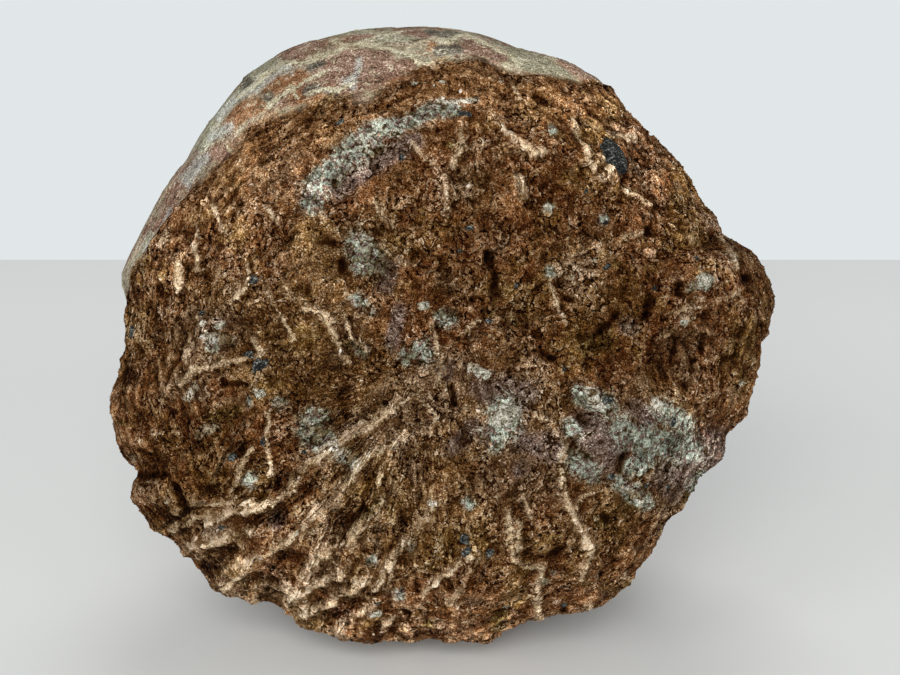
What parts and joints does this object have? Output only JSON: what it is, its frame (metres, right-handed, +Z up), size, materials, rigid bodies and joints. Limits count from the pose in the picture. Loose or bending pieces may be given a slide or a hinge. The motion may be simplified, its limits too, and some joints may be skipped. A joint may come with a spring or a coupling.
{
  "type": "fossil dinosaur egg",
  "caption": "Round fossil dinosaur egg held in a broken lump of red-brown sandstone, its rough veined face in front and its smooth shell behind, lying on a small flat.",
  "frame": {"origin": "middle of the stone's footprint, on the surface that it rests on", "axes": "+Z up, -Y out of the broken face, +X to the right as that face is looked at"},
  "size_m": [0.1678, 0.1289, 0.1552],
  "materials": {
    "sandstone": "dull broken sandstone, with a slight sheen on the shell"
  },
  "bodies": {
    "root": {"fossil_egg": "sandstone"}
  },
  "joints": []
}
